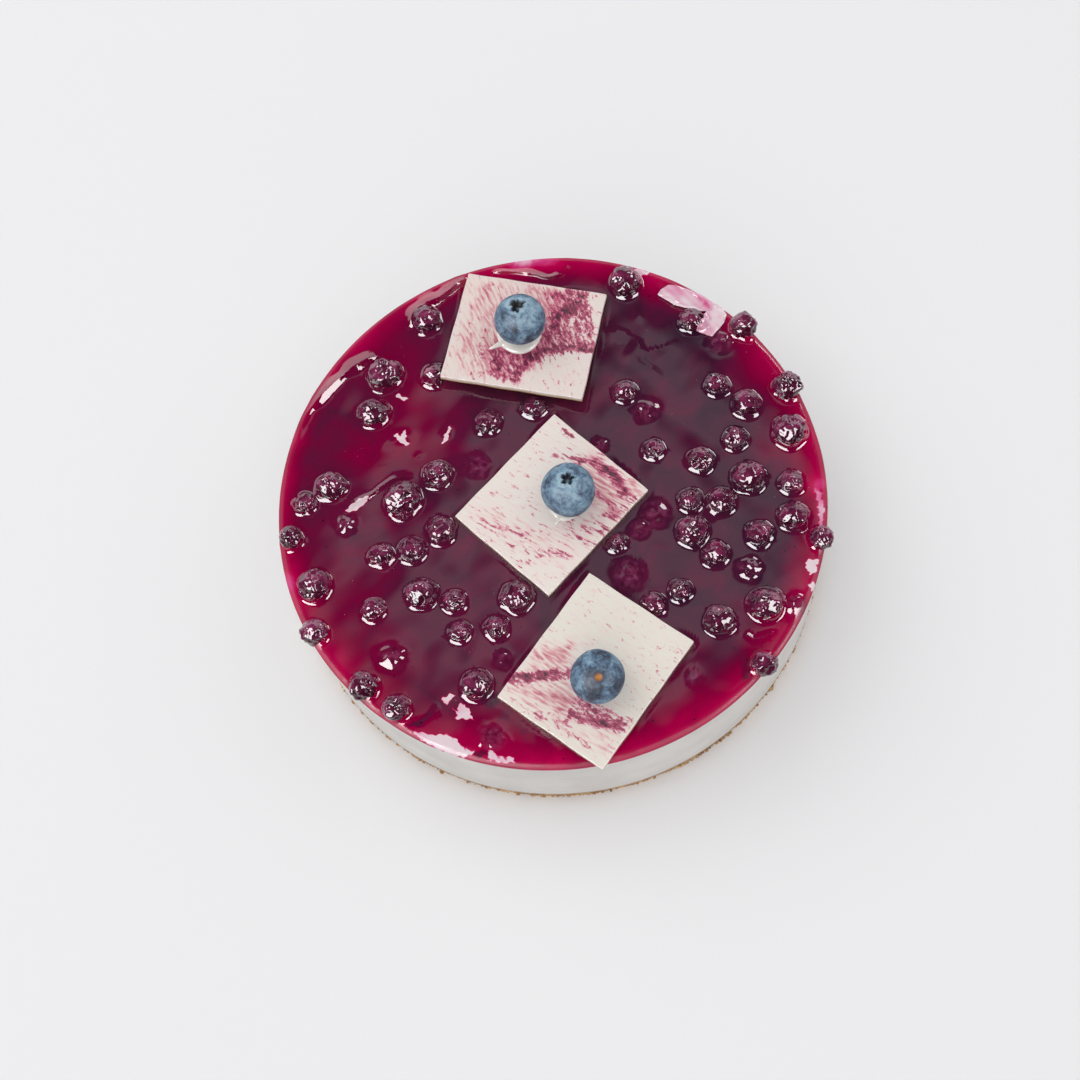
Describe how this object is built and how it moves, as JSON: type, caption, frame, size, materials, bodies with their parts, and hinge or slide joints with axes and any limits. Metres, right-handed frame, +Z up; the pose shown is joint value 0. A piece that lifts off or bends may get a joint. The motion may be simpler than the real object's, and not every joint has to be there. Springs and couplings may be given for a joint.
{
  "type": "blueberry cheesecake",
  "caption": "Round set cheesecake on a biscuit crumb base, under a glossy glaze full of sunken blueberries, with marbled white chocolate plaques topped by fresh berries.",
  "frame": {"origin": "middle of the flat underside of the crumb base", "axes": "+Z up, +Y away from the front, +X to the right of someone who looks along +Y"},
  "size_m": [0.2001, 0.2024, 0.0732],
  "materials": {
    "biscuit_crumb": "dry pressed biscuit crumb, rough",
    "set_cream": "smooth set cream, satin",
    "berry_jelly": "wet, glossy fruit jelly, plum in the deep part and magenta where it thins",
    "stewed_berry": "wet, wrinkled berry skin",
    "white_chocolate": "satin white chocolate with a pink marbling",
    "fresh_berry": "dusty blue bloom over a navy skin"
  },
  "bodies": {
    "root": {"crumb_base": "biscuit_crumb", "cream_filling": "set_cream", "berry_glaze": "berry_jelly", "blueberry_01": "stewed_berry", "blueberry_02": "stewed_berry", "blueberry_03": "stewed_berry", "blueberry_04": "stewed_berry", "blueberry_05": "stewed_berry", "blueberry_06": "stewed_berry", "blueberry_07": "stewed_berry", "blueberry_08": "stewed_berry", "blueberry_09": "stewed_berry", "blueberry_10": "stewed_berry", "blueberry_11": "stewed_berry", "blueberry_12": "stewed_berry", "blueberry_13": "stewed_berry", "blueberry_14": "stewed_berry", "blueberry_15": "stewed_berry", "blueberry_16": "stewed_berry", "blueberry_17": "stewed_berry", "blueberry_18": "stewed_berry", "blueberry_19": "stewed_berry", "blueberry_20": "stewed_berry", "blueberry_21": "stewed_berry", "blueberry_22": "stewed_berry", "blueberry_23": "stewed_berry", "blueberry_24": "stewed_berry", "blueberry_25": "stewed_berry", "blueberry_26": "stewed_berry", "blueberry_27": "stewed_berry", "blueberry_28": "stewed_berry", "blueberry_29": "stewed_berry", "blueberry_30": "stewed_berry", "blueberry_31": "stewed_berry", "blueberry_32": "stewed_berry", "blueberry_33": "stewed_berry", "blueberry_34": "stewed_berry", "blueberry_35": "stewed_berry", "blueberry_36": "stewed_berry", "blueberry_37": "stewed_berry", "blueberry_38": "stewed_berry", "blueberry_39": "stewed_berry", "blueberry_40": "stewed_berry", "blueberry_41": "stewed_berry", "blueberry_42": "stewed_berry", "blueberry_43": "stewed_berry", "blueberry_44": "stewed_berry", "blueberry_45": "stewed_berry", "blueberry_46": "stewed_berry", "blueberry_47": "stewed_berry", "blueberry_48": "stewed_berry", "blueberry_49": "stewed_berry", "blueberry_50": "stewed_berry", "blueberry_51": "stewed_berry", "plaque_1": "white_chocolate", "plaque_2": "white_chocolate", "plaque_3": "white_chocolate", "fresh_blueberry_1": "fresh_berry", "fresh_blueberry_2": "fresh_berry", "fresh_blueberry_3": "fresh_berry"}
  },
  "joints": []
}
